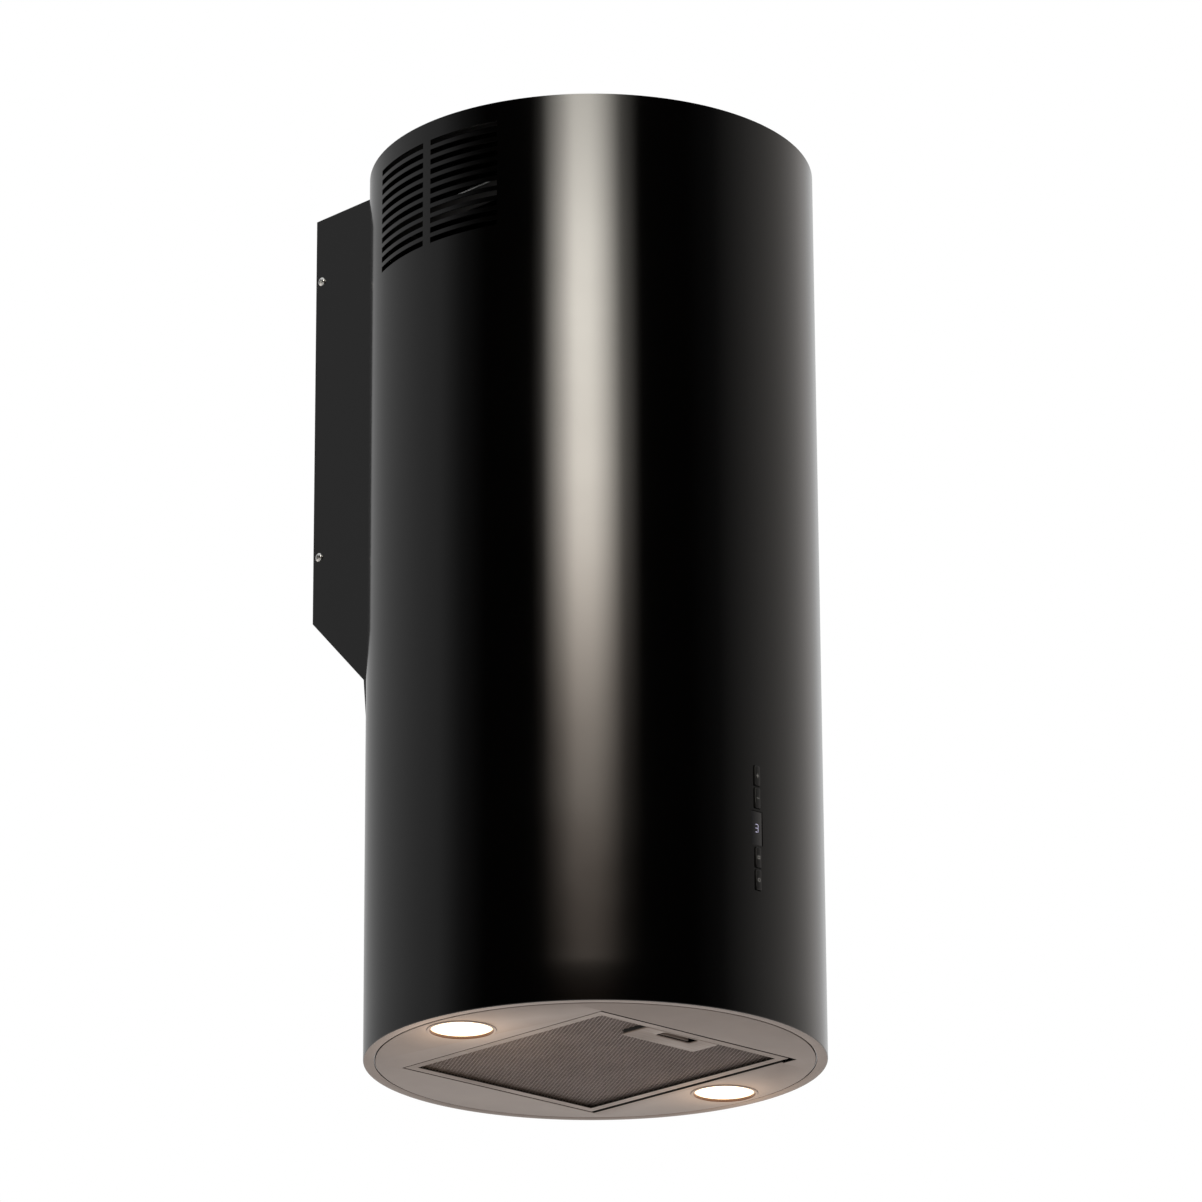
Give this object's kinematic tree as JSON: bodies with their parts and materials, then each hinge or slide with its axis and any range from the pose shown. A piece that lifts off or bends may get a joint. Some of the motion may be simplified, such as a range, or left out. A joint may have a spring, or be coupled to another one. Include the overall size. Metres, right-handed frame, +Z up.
{
  "type": "range hood",
  "caption": "Wall-mounted tube range hood: round black casing on a spacer box, with slotted vents, a hinged grease filter, lamps, push buttons and a display.",
  "frame": {"origin": "centre of the four wall fixing holes, on the wall plane", "axes": "+Z up along the tube, +Y into the wall, +X to the right seen from the room"},
  "size_m": [0.39, 0.4265, 0.8113],
  "materials": {
    "casing_paint": "satin black powder coat",
    "panel_paint": "satin warm grey paint",
    "galvanised": "galvanised sheet",
    "zinc": "bright zinc plate",
    "aluminium": "brushed aluminium",
    "mesh": "expanded aluminium",
    "glass": "frosted glass",
    "black_plastic": "matt black plastic",
    "button_plastic": "satin black plastic",
    "white_plastic": "off-white plastic",
    "smoked": "smoked window",
    "foam": "closed-cell foam",
    "charcoal": "charcoal cartridge",
    "board": "circuit board",
    "spring_steel": "spring steel"
  },
  "bodies": {
    "root": {"bottom_panel": "panel_paint", "button_switches": "black_plastic", "cable_gland": "black_plastic", "capacitor": "white_plastic", "control_board": "board", "control_housing": "black_plastic", "display_module": "black_plastic", "display_window": "smoked", "flap_spindle": "zinc", "frame_rail_1": "galvanised", "frame_rail_2": "galvanised", "frame_rail_3": "galvanised", "frame_rail_4": "galvanised", "frame_tie_left": "galvanised", "frame_tie_right": "galvanised", "junction_box": "black_plastic", "junction_cover": "black_plastic", "lamp_clips": "spring_steel", "lamp_glass_left": "glass", "lamp_glass_right": "glass", "lamp_holder_left": "white_plastic", "lamp_holder_right": "white_plastic", "lamp_reflector_left": "aluminium", "lamp_reflector_right": "aluminium", "lamp_ring_left": "panel_paint", "lamp_ring_right": "panel_paint", "lower_ring": "galvanised", "motor_body": "galvanised", "motor_bracket": "galvanised", "outer_tube": "casing_paint", "outlet_box": "galvanised", "outlet_collar": "black_plastic", "panel_screws": "zinc", "scroll_left": "black_plastic", "scroll_right": "black_plastic", "separator_brackets": "galvanised", "separator_plate": "galvanised", "separator_screws": "zinc", "separator_seal": "foam", "side_screws": "zinc", "top_cover": "casing_paint", "upper_ring": "galvanised", "wall_box": "casing_paint", "wall_plate": "galvanised"},
    "buttons_light": {"button_light": "button_plastic"},
    "buttons_off": {"button_off": "button_plastic"},
    "buttons_slower": {"button_slower": "button_plastic"},
    "buttons_faster": {"button_faster": "button_plastic"},
    "latch": {"latch_slider": "aluminium"},
    "filter": {"filter_frame": "aluminium", "filter_mesh": "mesh", "filter_core": "mesh", "latch_plate": "aluminium", "latch_spring": "spring_steel"},
    "fan": {"impeller": "black_plastic", "motor_shaft": "zinc"},
    "charcoal_left": {"carbon_filter_left": "charcoal"},
    "charcoal_right": {"carbon_filter_right": "charcoal"},
    "damper_left": {"flap_left": "white_plastic"},
    "damper_right": {"flap_right": "white_plastic"}
  },
  "joints": [
    {"name": "press_light", "type": "slide", "parent": "root", "child": "buttons_light", "axis": [0, 1, 0], "range_m": [0, 0.0012], "stiffness_N_per_m": 400, "springref_m": -0.0004},
    {"name": "press_off", "type": "slide", "parent": "root", "child": "buttons_off", "axis": [0, 1, 0], "range_m": [0, 0.0012], "stiffness_N_per_m": 400, "springref_m": -0.0004},
    {"name": "press_slower", "type": "slide", "parent": "root", "child": "buttons_slower", "axis": [0, 1, 0], "range_m": [0, 0.0012], "stiffness_N_per_m": 400, "springref_m": -0.0004},
    {"name": "press_faster", "type": "slide", "parent": "root", "child": "buttons_faster", "axis": [0, 1, 0], "range_m": [0, 0.0012], "stiffness_N_per_m": 400, "springref_m": -0.0004},
    {"name": "filter_tilt", "type": "hinge", "parent": "root", "child": "filter", "pos_m": [0, -0.108, -0.6094], "axis": [1, 0, 0], "range_deg": [0, 75]},
    {"name": "latch_slide", "type": "slide", "parent": "filter", "child": "latch", "axis": [0, 1, 0], "range_m": [0, 0.005], "stiffness_N_per_m": 300, "springref_m": -0.002, "deforming": ["latch_spring"]},
    {"name": "fan_spin", "type": "hinge", "parent": "root", "child": "fan", "pos_m": [0, -0.185, -0.13], "axis": [1, 0, 0], "continuous": true},
    {"name": "charcoal_left_twist", "type": "hinge", "parent": "root", "child": "charcoal_left", "pos_m": [0, -0.185, -0.13], "axis": [-1, 0, 0], "range_deg": [0, 20]},
    {"name": "charcoal_right_twist", "type": "hinge", "parent": "root", "child": "charcoal_right", "pos_m": [0, -0.185, -0.13], "axis": [1, 0, 0], "range_deg": [0, 20]},
    {"name": "damper_left_lift", "type": "hinge", "parent": "root", "child": "damper_left", "pos_m": [0, -0.2595, 0.0815], "axis": [0, 1, 0], "range_deg": [0, 75]},
    {"name": "damper_right_lift", "type": "hinge", "parent": "root", "child": "damper_right", "pos_m": [0, -0.2595, 0.0815], "axis": [0, -1, 0], "range_deg": [0, 75]}
  ]
}
